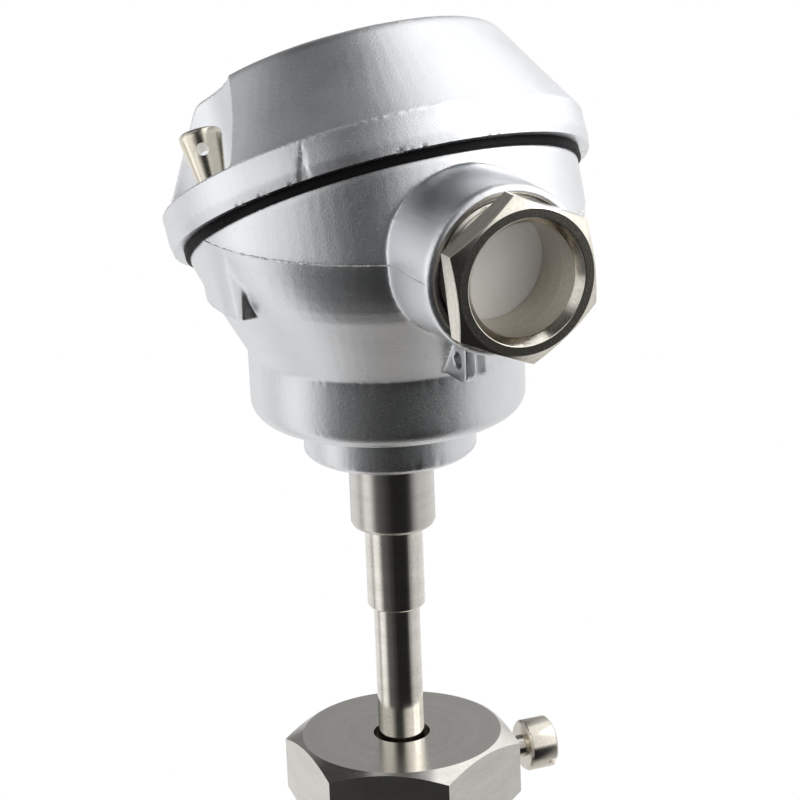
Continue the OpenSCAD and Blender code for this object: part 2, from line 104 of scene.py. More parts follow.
# %% Node helper
def fill(mat, made, inputs):
    """Sets a node's sockets to values, or links them to outputs of other nodes."""
    for key, value in inputs.items():
        socket = made.inputs[int(key[1:]) if key[0] == "_" else key.replace("_", " ")]
        if isinstance(value, bpy.types.NodeSocket):
            mat.node_tree.links.new(value, socket)
        else:
            socket.default_value = value


def node(mat, kind, settings=None, out=0, **inputs):
    """Adds a shader node to a material or world and returns one of its outputs."""
    made = mat.node_tree.nodes.new("ShaderNode" + kind)
    for key, value in (settings or {}).items():
        setattr(made, key, value)
    fill(mat, made, inputs)
    return made.outputs[out]


def dress(mat, **inputs):
    """Sets or links sockets of a material's Principled shader."""
    shader = mat.node_tree.nodes["Principled BSDF"]
    fill(mat, shader, inputs)
    return shader


def finish(name, **inputs):
    """A new material with its Principled shader's sockets filled in."""
    mat = bpy.data.materials.new(name)
    mat.use_nodes = True
    return mat, dress(mat, **inputs)


def math_node(mat, operation, a, b=0.5, clamp=False):
    """One sum, product or comparison of two values."""
    return node(mat, "Math", {"operation": operation, "use_clamp": clamp}, _0=a, _1=b)


def ramp(mat, value, *stops):
    """Turns a value into a colour; a stop is (position, grey) or (position, red, green, blue)."""
    made = mat.node_tree.nodes.new("ShaderNodeValToRGB")
    mat.node_tree.links.new(value, made.inputs[0])
    bar = made.color_ramp.elements
    while len(bar) < len(stops):
        bar.new(1.0)
    for mark, stop in zip(bar, stops):
        mark.position = stop[0]
        mark.color = (*stop[1:], 1) if len(stop) == 4 else (stop[1],) * 3 + (1,)
    return made.outputs[0]


def noise(mat, where, scale, detail=2.0, rough=0.5):
    """Soft random grey; the scale is in grains per metre."""
    return node(mat, "TexNoise", Vector=where, Scale=scale, Detail=detail, Roughness=rough)


def bump(mat, height, depth, normal=None, strength=1.0):
    """Raises the surface by up to depth metres where height is 1."""
    more = {"Normal": normal} if normal else {}
    return node(mat, "Bump", Height=height, Distance=depth, Strength=strength, **more)


def place(mat, centre=None, turn=(0, 0, 0)):
    """Object coordinates in metres, or the same measured from a centre and along turned axes."""
    here = node(mat, "TexCoord", out=3)
    if centre is None:
        return here
    return node(mat, "Mapping", {"vector_type": "TEXTURE"}, Vector=here,
                Location=centre, Rotation=turn)


print("node helpers ready")

# %% [markdown]
# ## Surroundings
# Metal shows little colour of its own: it shows the room. A studio stands big white
# screens beside it and leaves the room dark behind the camera, and so each edge is
# drawn by a bright and a dark band. The world's colour is the easy way to build such
# a room: belts of greys run round the compass, from the floor up to overhead. Rays from
# the camera see plain white instead.

# %% Belts of greys round the compass
BELTS = {  # degrees to the right of the camera, and the grey that is seen there
    "low": [(-180, 0.88), (-127, 0.98), (-112, 0.82), (-104, 0.52), (-98, 0.82), (-86, 1.2),
            (-70, 1.05), (-60, 0.50), (-51, 0.16), (-36, 0.11), (-15, 0.05), (0, 0.02), (42, 0.02),
            (53, 0.05), (62, 0.32), (72, 0.54), (80, 0.70), (92, 0.76), (103, 0.78), (125, 0.88),
            (180, 0.98)],
    "horizon": [(-180, 0.62), (-130, 0.66), (-114, 0.84), (-66, 0.88), (-50, 0.78), (-37, 0.34),
                (-22, 0.08), (0, 0.02), (22, 0.06), (38, 0.15), (52, 0.25), (61, 0.8), (75, 1.1),
                (125, 1.1), (160, 0.90), (180, 0.70)],
    "level": [(-180, 0.32), (-160, 0.20), (-140, 0.24), (-127, 0.48), (-110, 0.56), (-82, 0.66),
              (-66, 0.86), (-50, 0.76), (-37, 0.36), (-22, 0.06), (-4, 0.02), (8, 0.08), (22, 0.60),
              (36, 1.0), (60, 1.2), (125, 1.2), (147, 1.1), (163, 0.62), (180, 0.34)],
    "high": [(-180, 0.18), (-150, 0.05), (-128, 0.05), (-112, 0.07), (-97, 0.17), (-84, 0.42),
             (-64, 0.22), (-40, 0.07), (-14, 0.05), (6, 0.26), (26, 0.90), (60, 1.15), (147, 1.15),
             (167, 0.56), (180, 0.30)],
}


def belt(mat, direction, name):
    """The grey of one belt, looked up by the compass bearing of a direction."""
    level = node(mat, "Mapping", {"vector_type": "TEXTURE"}, Vector=direction,
                 Rotation=(0, 0, heading - math.pi / 2))
    bearing = node(mat, "TexGradient", {"gradient_type": "RADIAL"}, out=1, Vector=level)
    grey = ramp(mat, bearing, *[(degrees / 360 + 0.5, tone) for degrees, tone in BELTS[name]])
    grey.node.color_ramp.interpolation = "EASE"
    return grey


def blend(mat, share, first, second):
    """Goes from the first colour to the second as share goes from 0 to 1."""
    return node(mat, "MixRGB", _0=share, _1=first, _2=second)


room = bpy.data.worlds.new("room")
room.use_nodes = True
room.node_tree.nodes.clear()
scene.world = room
direction = node(room, "TexCoord")
rise = node(room, "SeparateXYZ", out=2, _0=direction)
above = blend(room, ramp(room, rise, (0.45, 0.0), (0.72, 1.0)),
              belt(room, direction, "level"), belt(room, direction, "high"))
near = ramp(room, rise, (0.0, 0.0), (0.08, 1.0))
greys = blend(room, near, belt(room, direction, "horizon"), above)
rays = room.node_tree.nodes.new("ShaderNodeLightPath").outputs
seen = math_node(room, "ADD", rays["Is Camera Ray"], rays["Is Transmission Ray"], clamp=True)
white = node(room, "Background", Color=(1, 1, 1, 1), Strength=1.0)
lit = node(room, "Background", Color=greys, Strength=1.25)
end = room.node_tree.nodes.new("ShaderNodeOutputWorld")
mixed = node(room, "MixShader", _0=seen, _1=lit, _2=white)
room.node_tree.links.new(mixed, end.inputs[0])
print("stops in each belt:", {name: len(stops) for name, stops in BELTS.items()})

# %% [markdown]
# ## Floor
# The thermometer stands on a pale floor. Near the object the floor is plain paint, so
# it holds a shadow. Further out it fades to the white of the backdrop, and in a mirror
# it shows the same belts as the room does. A curved studio sweep would do this with
# more geometry; here one sheet does it, because its material knows how far out it is.

# %% Floor
def as_object(name, bm):
    """Makes a scene object from a bmesh and frees the bmesh."""
    mesh = bpy.data.meshes.new(name)
    bm.to_mesh(mesh)
    bm.free()
    made = bpy.data.objects.new(name, mesh)
    scene.collection.objects.link(made)
    return made


under = cad_box[0].z - 0.2 * MM
sheet = bmesh.new()
bmesh.ops.create_grid(sheet, x_segments=2, y_segments=2, size=6)
bmesh.ops.translate(sheet, verts=sheet.verts, vec=(0, 0, under))
floor = as_object("floor", sheet)
print("floor at", round(under, 4))

# %% Floor paint
# metres from the axis where one layer begins to give way to the next, and where it ends
PAINT_TO_BACKDROP = (0.13, 0.25)
WARM_GLOW_TO_BELTS = (0.09, 0.17)
LOW_TO_HORIZON = (0.84, 1.6)
WARM_GLOW_IN_MIRRORS = (0.92, 0.88, 0.84, 1)  # painted warm glow on the floor near the axis, seen only in the reflections of the lowest faces

paint, shader = finish("floor_paint", Roughness=0.9, Specular_IOR_Level=0.1)
spot = place(paint)
dress(paint, Base_Color=ramp(paint, noise(paint, spot, 9, 4), (0.3, 0.84), (0.7, 0.88)))
reach = node(paint, "VectorMath", {"operation": "LENGTH"}, out=1, _0=spot)
half_reach = math_node(paint, "MULTIPLY", reach, 0.5)  # a ramp ends at 1, and the floor doesn't


def fade(distance, limits, scale=1.0):
    """Goes from 0 to 1 between two distances."""
    return ramp(paint, distance, (limits[0] * scale, 0.0), (limits[1] * scale, 1.0))


belts = blend(paint, fade(half_reach, LOW_TO_HORIZON, 0.5),
              belt(paint, spot, "low"), belt(paint, spot, "horizon"))
# painted reflection: near the axis, mirrors see a warm glow on the floor instead of its lit paint
mirrored = blend(paint, fade(reach, WARM_GLOW_TO_BELTS), WARM_GLOW_IN_MIRRORS, belts)
rays = paint.node_tree.nodes.new("ShaderNodeLightPath").outputs
backdrop = blend(paint, rays["Is Glossy Ray"], (1, 1, 1, 1), mirrored)
seen = math_node(paint, "ADD", rays["Is Camera Ray"], rays["Is Transmission Ray"], clamp=True)
seen = math_node(paint, "MULTIPLY", seen, fade(reach, PAINT_TO_BACKDROP))
seen = math_node(paint, "ADD", seen, rays["Is Glossy Ray"], clamp=True)
glow = node(paint, "Emission", Color=backdrop, Strength=1.0)
mixed = node(paint, "MixShader", _0=seen, _1=shader.outputs[0], _2=glow)
paint.node_tree.links.new(mixed, paint.node_tree.nodes["Material Output"].inputs[0])
floor.data.materials.append(paint)
print(paint.name, len(paint.node_tree.nodes), "nodes")

# %% [markdown]
# ## Lamps
# The room already lights the object from all sides. Two soft boxes give that light a
# direction: a strong one to the right and above, and a faint one level on the left.
# They are area lamps, because a large lamp makes the soft shadow of a studio.

# %% Lamps
aim = Vector((0, 0, 0.095))


def soft_box(name, bearing, elevation, distance, width, height, watts):
    """A soft box that looks at the head; bearing 0 stands behind the camera."""
    data = bpy.data.lights.new(name, "AREA")
    data.shape = "RECTANGLE"
    data.size, data.size_y, data.energy = width, height, watts
    lamp = bpy.data.objects.new(name, data)
    scene.collection.objects.link(lamp)
    a, e = heading + math.radians(bearing), math.radians(elevation)
    back = Vector((math.sin(a) * math.cos(e), -math.cos(a) * math.cos(e), math.sin(e)))
    lamp.location = aim + back * distance
    lamp.rotation_euler = (-back).to_track_quat("-Z", "Y").to_euler()
    return lamp


for lamp in (soft_box("soft_box_left", -92, 4, 0.9, 0.5, 0.5, 0.35),
             soft_box("soft_box_right", 88, 38, 0.9, 0.6, 0.6, 2.4)):
    print(lamp.name, [round(x, 2) for x in lamp.location], lamp.data.energy, "W")

# %% [markdown]
# ## The finish of the castings
# Each finish has three layers: a colour that drifts a little, a gloss that changes at
# the same scale, and a fine bump. Head and lid are die-cast aluminium. The mould leaves
# a sand-fine grain with patches of a broader swell, and here and there a bright speck.
# A picture of cast metal could be wrapped round the parts, but a noise has no seams. All
# patterns sit on Object coordinates in metres, so a scale of 2000 is half a millimetre.

# %% Cast finish
def mean(mat, first, second, share=0.5):
    """A weighted mean of two greys."""
    return math_node(mat, "ADD", math_node(mat, "MULTIPLY", first, 1 - share),
                     math_node(mat, "MULTIPLY", second, share))


def cast_finish(name):
    """Silver-grey cast aluminium with the soft grain of its mould and a few bright specks."""
    mat, _ = finish(name, Metallic=1.0)
    here = place(mat)
    grain = noise(mat, here, 3400, 3, 0.6)
    cloud = noise(mat, here, 110, 4, 0.6)
    specks = ramp(mat, noise(mat, here, 4200, 1, 0.5), (0.74, 0.0), (0.79, 1.0))
    colour = ramp(mat, mean(mat, grain, cloud), (0.30, 0.68, 0.695, 0.715),
                  (0.50, 0.74, 0.755, 0.775), (0.70, 0.79, 0.80, 0.81))
    rough = ramp(mat, mean(mat, grain, cloud, 0.4), (0.30, 0.28), (0.70, 0.39))
    patches = ramp(mat, noise(mat, here, 70, 3, 0.6), (0.38, 0.3), (0.62, 1.0))
    swell = bump(mat, noise(mat, here, 900, 2, 0.5), 2.2e-5, strength=patches)
    height = math_node(mat, "ADD", grain, math_node(mat, "MULTIPLY", specks, 0.6))
    dress(mat, Base_Color=colour, Roughness=rough, Normal=bump(mat, height, 3e-5, swell))
    return mat


cast = cast_finish("cast_aluminium")
print(cast.name, len(cast.node_tree.nodes), "nodes")

# %% [markdown]
# ## The finish of the turned parts
# Pocket, collar, tubes and screws come off a lathe, and the tool leaves fine rings round
# each part's own axis. The rings could be a wave texture, but its lines are too even. A
# noise whose coordinates are the radius and the height alone is the same all the way
# round, so it draws rings of uneven depth. A share of plain specks breaks them up.

# %% Turned finish
def rings(mat, centre=None, turn=(0, 0, 0)):
    """Coordinates that are the same all round an axis, for the marks of a lathe."""
    local = place(mat, centre, turn)
    x, y, z = (node(mat, "SeparateXYZ", out=i, _0=local) for i in range(3))
    radius = node(mat, "VectorMath", {"operation": "LENGTH"}, out=1,
                  _0=node(mat, "CombineXYZ", _0=x, _1=y))
    return node(mat, "CombineXYZ", _0=radius, _2=z)


def turned_finish(name, colour, gloss, centre=None, turn=(0, 0, 0), depth=3e-6, dull=0.86,
                  broken=0.0):
    """Metal off a lathe: fine rings in gloss and height, and faint broader bands."""
    mat, _ = finish(name, Metallic=1.0)
    lines = rings(mat, centre, turn)
    specks = noise(mat, place(mat), 1900, 4, 0.65)
    marks = mean(mat, noise(mat, lines, 7000, 2, 0.6), specks, broken)
    bands = noise(mat, lines, 420, 3, 0.6)
    tint = ramp(mat, mean(mat, bands, specks), (0.34, *[c * dull for c in colour]), (0.60, *colour))
    rough = ramp(mat, mean(mat, marks, specks, 0.3), (0.3, gloss * 0.75), (0.7, gloss * 1.3))
    dress(mat, Base_Color=tint, Roughness=rough, Normal=bump(mat, marks, depth))
    return mat


gland_low, gland_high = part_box("gland_disc")
gland_height = (gland_low.z + gland_high.z) / 2
mouth = Vector((0.0015, 0, 0.1082))  # centre of the head's mouth, where the lid sits
tilt = math.radians(30)  # of the mouth and the lid
LID_TILT = (0, -tilt, 0)
ALONG_X = (0, math.pi / 2, 0)
SCREW_SIDES = {"left": -0.0288, "right": 0.0288}
steel = turned_finish("turned_steel", (0.62, 0.60, 0.56), 0.20)
tube = turned_finish("drawn_tube", (0.76, 0.73, 0.67), 0.11, depth=8e-7, dull=0.80)
gland_nickel = turned_finish("gland_nickel", (0.76, 0.72, 0.64), 0.12, (0, 0, gland_height),
                             ALONG_X, depth=1.6e-5, dull=0.75, broken=0.45)
screw_nickel = {
    side: turned_finish("screw_nickel_" + side, (0.80, 0.75, 0.64), 0.16,
                        mouth + Vector((0, y, 0)), LID_TILT)
    for side, y in SCREW_SIDES.items()
}
print("turned:", [m.name for m in (steel, tube, gland_nickel, *screw_nickel.values())])

# %% [markdown]
# ## The finish of the small parts
# What is left is small or hidden: plated screws, zinc springs, brass posts, glazed
# ceramic, a rubber ring, a matt plastic disc and the coats of the leads. One soft noise
# in colour, gloss and height is enough for them, so one function makes them all, and
# only colour, gloss, grain and metal change.

# %% Plain finishes
def grained_finish(name, colour, gloss, scale=1800, depth=1e-5, metallic=0.0, dark=0.8):
    """A surface with soft specks: small metal parts, rubber, glaze and wire coats."""
    mat, _ = finish(name, Metallic=metallic)
    here = place(mat)
    grain = noise(mat, here, scale, 4, 0.6)
    both = mean(mat, grain, noise(mat, here, scale / 15, 3, 0.5))
    tint = ramp(mat, both, (0.35, *[c * dark for c in colour]), (0.65, *colour))
    rough = ramp(mat, both, (0.35, min(1.0, gloss * 1.2)), (0.65, gloss * 0.85))
    dress(mat, Base_Color=tint, Roughness=rough, Normal=bump(mat, grain, depth))
    return mat


nickel = grained_finish("nickel", (0.64, 0.60, 0.53), 0.18, metallic=1.0, depth=3e-6)
zinc = grained_finish("zinc", (0.60, 0.61, 0.62), 0.32, metallic=1.0, depth=8e-6)
brass = grained_finish("brass", (0.74, 0.54, 0.24), 0.25, metallic=1.0, depth=6e-6)
rubber = grained_finish("rubber", (0.009, 0.009, 0.010), 0.55, scale=1400, depth=4e-5, dark=0.5)
disc = grained_finish("disc_plastic", (0.92, 0.90, 0.87), 0.42, depth=8e-6, dark=0.93)
ceramic = grained_finish("ceramic", (0.80, 0.78, 0.71), 0.25, dark=0.92)
broken_edge = grained_finish("broken_edge", (0.88, 0.89, 0.90), 0.5, metallic=1.0, depth=2e-5)
lead_red = grained_finish("lead_red", (0.5, 0.05, 0.04), 0.4)
lead_white = grained_finish("lead_white", (0.78, 0.77, 0.72), 0.4, dark=0.9)
dress(rubber, Specular_IOR_Level=0.1)
print("finishes:", len(bpy.data.materials))

# %% [markdown]
# ## Pieces that stand for the solids
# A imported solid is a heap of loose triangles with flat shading. A merged copy can be
# shaded smoothly and its sharp edges can be broken with a narrow bevel, as a fitter
# breaks them with a file: it is this bevel that catches the light. So each solid gets
# a copy that takes its place, keeps its box and moves with the same body.

# %% Merged copies
finishes = {
    "pocket_body": steel, "pocket_tube": tube, "clamp_screw": nickel, "probe_tube": tube,
    "sensing_element": ceramic, "lead_wires_red": lead_red, "lead_wires_white": lead_white,
    "neck_sleeve": tube, "neck_adapter": steel, "head_body": cast, "terminal_block": ceramic,
    "terminal_posts": brass, "terminal_screws": nickel, "block_screws": zinc,
    "block_springs": zinc, "earth_screw": nickel, "earth_washer": nickel, "lid": cast,
    "lid_gasket": rubber, "lid_screw_left": screw_nickel["left"],
    "lid_screw_right": screw_nickel["right"], "lid_screw_clips": zinc,
    "gland_screw": gland_nickel, "gland_disc": disc, "gland_washer": zinc, "gland_seal": rubber,
}
bodies = {name: body for body, names in frame["record"]["behaviour"]["bodies"].items()
          for name in names}
done = set()  # nodes whose piece is ready


def merged(source):
    """A bmesh of a CAD node whose triangles are joined and whose flat faces are whole."""
    bm = bmesh.new()
    bm.from_mesh(frame["nodes"][source].data)
    bmesh.ops.remove_doubles(bm, verts=bm.verts, dist=2e-6)
    bmesh.ops.dissolve_limit(bm, angle_limit=math.radians(0.4), verts=bm.verts, edges=bm.edges,
                             delimit=set(), use_dissolve_boundaries=False)
    return bm


def break_edges(bm, width, over=30.0, segments=2):
    """Bevels every edge that turns by more than the given degrees, by a width in metres."""
    sharp = [e for e in bm.edges if e.is_manifold and e.calc_face_angle(0) > math.radians(over)]
    bmesh.ops.bevel(bm, geom=sharp, affect="EDGES", offset=width, offset_type="OFFSET",
                    segments=segments, profile=0.5, material=-1, clamp_overlap=True)


def stand_in(source, bm, smooth=30.0):
    """Makes the piece that is shown in place of a CAD node."""
    piece = as_object(source + "_piece", bm)
    piece.data.shade_smooth()
    piece.data.set_sharp_from_angle(angle=math.radians(smooth))
    piece.data.materials.append(finishes[source])
    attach(piece, bodies[source])
    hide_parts(source)
    done.add(source)
    return piece


# %% [markdown]
# ## Castings
# A casting has no sharp edges: the metal rounds every corner and fills every crease.
# Bevels alone can't follow the place where boss, bowl and lugs run into each other.
# So the copy is rebuilt from small cubes with a voxel remesh, relaxed by a few rounds of
# smoothing, and thinned again with a collapse. The surface then gets the faint waves
# that a mould leaves, which make a reflection swim.

# %% Casting helper
VOXEL = 0.32 * MM
GENTLE = 0.985  # cosine of the bend under which a place counts as plain wall
WAVE = 0.03 * MM  # height of the waves
LIP, RIM = 0.33, 1.8  # heights of the machined faces of head and lid, in mm above the mouth
SHARP = 60  # degrees, for castings: only the machined edges stay sharp
lid_axis = Vector((-math.sin(tilt), 0, math.cos(tilt)))


def settled(piece, modifiers):
    """Applies modifiers, given as (type, settings), and returns the new mesh as a bmesh."""
    for kind, settings in modifiers:
        made = piece.modifiers.new(kind, kind)
        for key, value in settings.items():
            setattr(made, key, value)
    bpy.context.view_layer.update()
    ready = piece.evaluated_get(bpy.context.evaluated_depsgraph_get())
    bm = bmesh.new()
    bm.from_mesh(ready.to_mesh())
    ready.to_mesh_clear()
    bpy.data.objects.remove(piece)
    return bm


def casting(source, triangles, solid_face, at, above):
    """A copy of a cast node with soft edges and faint waves, machined flat along the mouth.

    Heights are in mm along the lid's axis: solid_face is the flat face of the solid and at is
    where the copy is cut. The blank first gets spare metal there, so that the cut is crisp.
    """
    blank = merged(source)
    spare = -1.5 if above else 1.5
    for v in blank.verts:
        if abs((v.co - mouth).dot(lid_axis) / MM - solid_face) < 0.02:
            v.co += lid_axis * (at - solid_face + spare) * MM
    bm = settled(as_object("blank", blank), [
        ("REMESH", {"mode": "VOXEL", "voxel_size": VOXEL, "adaptivity": 0.0}),
        ("SMOOTH", {"factor": 0.5, "iterations": 2}),
        ("TRIANGULATE", {}),
    ])
    share = triangles / len(bm.faces)
    if share < 1:
        bm = settled(as_object("thin", bm), [("DECIMATE", {"ratio": share})])
    bm.normal_update()
    gentle = [v for v in bm.verts if all(f.normal.dot(v.normal) > GENTLE for f in v.link_faces)]
    for _ in range(5):
        bmesh.ops.smooth_vert(bm, verts=gentle, factor=0.5, use_axis_x=True, use_axis_y=True,
                              use_axis_z=True)
    bm.normal_update()
    for v in bm.verts:
        v.co += v.normal * WAVE * waves.noise(v.co * 160)
    cut = bmesh.ops.bisect_plane(bm, geom=[*bm.verts, *bm.edges, *bm.faces], dist=1e-7,
                                 plane_co=mouth + lid_axis * at * MM, plane_no=lid_axis,
                                 clear_inner=above, clear_outer=not above)
    rim = [e for e in cut["geom_cut"] if isinstance(e, bmesh.types.BMEdge)]
    bmesh.ops.triangle_fill(bm, edges=rim, use_beauty=True)
    bmesh.ops.recalc_face_normals(bm, faces=bm.faces)
    return bm


print("voxel", VOXEL, "mouth at", [round(x, 4) for x in mouth])

# %% [markdown]
# ## The lid and the marks on its rim
# When a casting is broken out of its runner and trimmed, small chips stay along the lower
# edge of the rim, and the ejector leaves one long dent. Small cutters and a boolean could
# make them, but pressing single points of the ready surface inward is softer. The lid is
# measured along its own axis, as height from the mouth and angle round it, so each mark
# is one short line of numbers.

# %% Lid measures and marks
def lid_measures(point):
    """Angle in degrees, radius and height in mm of a point, seen from the lid's axis."""
    away = (point - mouth) / MM
    x, y = away.dot(lid_front), away.dot(lid_side)
    return math.degrees(math.atan2(y, x)), math.hypot(x, y), away.dot(lid_axis)


def dent_depth(across, height):
    """Depth in mm of the long dent, which narrows from the rim's edge up to its shoulder."""
    spread = 2.295 * min(1.0, max(0.0, (7.9 - height) / 6.0))
    if not -0.15 < across < spread:
        return 0.0
    return 0.2 * max(0.0, min(1.0, (across + 0.15) * 2.5, (spread - across) * 2.5))


lid_front = Vector((math.cos(tilt), 0, math.sin(tilt)))
lid_side = Vector((0, -1, 0))
RIM_RADIUS, SHOULDER = 34.5, 8.4  # marks lie outside this radius and below this height, mm
DENT = 41.0  # its angle round the lid
# (angle, height above the mouth, half width, depth): chips where the rim was trimmed
CHIPS = [
    (64, 1.8, 0.45, 0.22), (61.5, 1.7, 0.35, 0.16), (56.5, 1.7, 0.5, 0.20), (54.5, 1.7, 0.3, 0.14),
    (47, 1.7, 0.4, 0.16), (29, 1.8, 0.4, 0.18), (17, 1.9, 0.7, 0.25), (14.5, 1.8, 0.4, 0.2),
    (11, 1.8, 0.5, 0.22), (4, 1.8, 0.4, 0.16), (-8, 1.8, 0.6, 0.24), (-10.5, 1.9, 0.4, 0.2),
    (-13, 1.8, 0.4, 0.18), (120, 1.8, 0.6, 0.25), (200, 1.8, 0.5, 0.2), (-70, 1.8, 0.6, 0.25),
]
print("chips:", len(CHIPS))

# %% Lid
lid_cast = casting("lid", 185000, 2.1, RIM, above=True)
for v in lid_cast.verts:
    angle, radius, height = lid_measures(v.co)
    if radius < RIM_RADIUS or height > SHOULDER:
        continue
    inward = -(v.co - mouth - lid_axis * height * MM).normalized()
    v.co += inward * dent_depth(math.radians(angle - DENT) * radius, height) * MM
    for chip_angle, chip_height, half, deep in CHIPS:
        away = math.hypot(math.radians(angle - chip_angle) * radius, height - chip_height)
        if away < half:
            torn = 0.75 + 0.9 * waves.noise(v.co * 2200)
            v.co += (inward + lid_axis * 0.6) * deep * torn * (1 - away / half) * MM
lid = stand_in("lid", lid_cast, SHARP)
print("lid faces:", len(lid.data.polygons))

# %% [markdown]
# ## The head
# Boss, foot, bowl and lugs are one casting. It could be modelled anew from a spun bowl
# and joined bosses, but the solid has all of that, so the same helper softens it. Only
# the mouth is machined, and so only the mouth keeps a crisp edge.

# %% Head
head = stand_in("head_body", casting("head_body", 190000, 0.0, LIP, above=False), SHARP)
print("head faces:", len(head.data.polygons))

# %% [markdown]
# ## Parting flash
# The two halves of the mould meet in the plane of the gland's axis. A little metal
# creeps between them and leaves a thin broken fin round the bowl and along the boss.
# Cutting the finished casting with that plane gives the fin's path, so it lies on the
# wall whatever the wall does. A curve with an uneven radius gives it body.

# %% Path of the flash
def outside(point):
    """True on the outer wall of the bowl, its lugs and the gland boss, from x 2.5 mm on."""
    x, y = point.x / MM, point.y / MM
    bowl = math.hypot(x - 1.6, y) > 32.6
    boss = abs(y) > 13.6 or x < 30
    return 2.5 < x < 44.4 and bowl and boss


def walk(cut, shortest=12):
    """The chains of vertices that a cut left, each from end to end, without the shortest."""
    chains = []
    left = set(cut.verts)
    while left:
        ends = [v for v in left if sum(e.other_vert(v) in left for e in v.link_edges) == 1]
        here = min(ends or left, key=lambda v: (round(v.co.x, 6), v.co.y))
        chain = []
        while here is not None:
            chain.append(here.co.copy())
            left.discard(here)
            beside = [e.other_vert(here) for e in here.link_edges]
            here = next((v for v in beside if v in left), None)
        if len(chain) > shortest:
            chains.append(chain)
    return chains


cut = bmesh.new()
cut.from_mesh(head.data)
bmesh.ops.bisect_plane(cut, geom=[*cut.verts, *cut.edges, *cut.faces], dist=1e-7,
                       plane_co=(0, 0, gland_height), plane_no=(0, 0, 1),
                       clear_inner=True, clear_outer=True)
bmesh.ops.delete(cut, geom=[v for v in cut.verts if not outside(v.co)], context="VERTS")
paths = walk(cut)
cut.free()
print("flash paths:", [len(path) for path in paths])

# %% Parting flash
fin = bpy.data.curves.new("fin", "CURVE")
fin.dimensions = "3D"
fin.bevel_depth = 0.17 * MM  # half the fin's thickness, before it varies
fin.bevel_resolution = 1
for path in paths:
    spline = fin.splines.new("POLY")
    spline.points.add(len(path) - 1)
    for spot, at in zip(spline.points, path):
        spot.co = (*at, 1)
        spot.radius = max(0.25, 0.85 + 1.3 * waves.noise(at * 900) + 0.5 * waves.noise(at * 3000))
carrier = bpy.data.objects.new("fin", fin)
scene.collection.objects.link(carrier)
flash_mesh = bpy.data.meshes.new_from_object(carrier)
bpy.data.objects.remove(carrier)
flash_mesh.shade_smooth()
flash_mesh.materials.clear()
flash_mesh.materials.append(broken_edge)
flash = bpy.data.objects.new("parting_flash", flash_mesh)
scene.collection.objects.link(flash)
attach(flash, "head")
print("flash faces:", len(flash_mesh.polygons))

# %% [markdown]
# ## Threads
# The solids carry plain shanks where the real parts are threaded. A screw thread is one
# ridge wound round a core, and that is also how it is modelled: the shank shrinks to the
# thread's root, and a small trapezium is spun round the axis while it climbs by one
# pitch in each turn. The crests stay at the shank's own radius, so nothing grows.

# %% Threads
SUNK = 0.15  # how deep the ridge is sunk into the core, mm
FOOT, TOP = 0.46, 0.09  # half widths of the ridge at its foot and its crest, in pitches
gland_axes = Matrix.Translation((0, 0, gland_height)) @ Matrix.Rotation(math.pi / 2, 4, "Y")
clamp_axes = (Matrix.Rotation(math.radians(-3.7), 4, "Z") @ Matrix.Translation((0, 0, 5.4 * MM))
              @ Matrix.Rotation(-math.pi / 2, 4, "X"))
# axis frame, crest and root radius, from and to, pitch (mm), sides in one turn
THREADS = {
    "pocket_body": (Matrix(), 13.22, 12.1, -15.9, -0.1, 1.814, 48),
    "gland_screw": (gland_axes, 11.2, 10.35, 39.7, 47.8, 1.5, 48),
    "clamp_screw": (clamp_axes, 2.0, 1.65, 4.2, 17.2, 0.7, 20),
}
for side, y in SCREW_SIDES.items():
    screw_axes = Matrix.Translation(mouth + Vector((0, y, 0))) @ Matrix.Rotation(-tilt, 4, "Y")
    THREADS["lid_screw_" + side] = (screw_axes, 2.1, 1.75, -9.6, 0.7, 0.7, 20)


def wind_thread(bm, axes, crest, root, low, high, pitch, sides):
    """Cuts a plain shank down to its root and winds one ridge round it; sizes in mm."""
    back = axes.inverted()
    for v in bm.verts:
        at = back @ v.co / MM
        if low - 0.3 < at.z < high + 0.3 and abs(math.hypot(at.x, at.y) - crest) < 0.06:
            at.x, at.y = at.x * root / crest, at.y * root / crest
            v.co = axes @ (at * MM)
    ridge = bmesh.new()
    corners = [(root - SUNK, -FOOT), (crest, -TOP), (crest, TOP), (root - SUNK, FOOT)]
    face = ridge.faces.new([ridge.verts.new((r * MM, 0, (low + z * pitch) * MM))
                            for r, z in corners])
    steps = round((high - low) / pitch * sides)
    bmesh.ops.spin(ridge, geom=[face, *face.edges, *face.verts], cent=(0, 0, 0), axis=(0, 0, 1),
                   dvec=(0, 0, pitch * MM / sides), angle=math.tau * steps / sides, steps=steps,
                   use_duplicate=False)
    bmesh.ops.holes_fill(ridge, edges=[e for e in ridge.edges if e.is_boundary], sides=4)
    for v in ridge.verts:  # the ridge grows out of the shank over its first half turn
        radius = math.hypot(v.co.x, v.co.y) / MM
        grown = root - 2 * SUNK + v.co.z / MM - low + 0.5 * pitch
        limit = max(root - SUNK, min(crest, grown))
        if radius > limit:
            v.co.x, v.co.y = v.co.x * limit / radius, v.co.y * limit / radius
    bmesh.ops.recalc_face_normals(ridge, faces=ridge.faces)
    bmesh.ops.transform(ridge, matrix=axes, verts=ridge.verts)
    wound = bpy.data.meshes.new("ridge")
    ridge.to_mesh(wound)
    ridge.free()
    bm.from_mesh(wound)
    return steps


print("threads:", sorted(THREADS))

# %% [markdown]
# ## Gland screw
# The hollow hexagon screw is turned from hexagon bar: the lathe faces its end with fine
# rings, cones off the six corners and rounds the mouth of the bore. The same order makes
# the model. One profile is spun round the axis, what lies beyond the bar's six flats is
# pushed back to them, and the cone is followed so that its edge dips at every corner.

# %% Gland screw
def hexagon_reach(x, y, flat, turn):
    """Distance in mm from the axis to the flats of a hexagon, in the direction of a point."""
    a = math.radians((math.degrees(math.atan2(y, x)) - turn) % 60 - 30)
    return flat / math.cos(a)


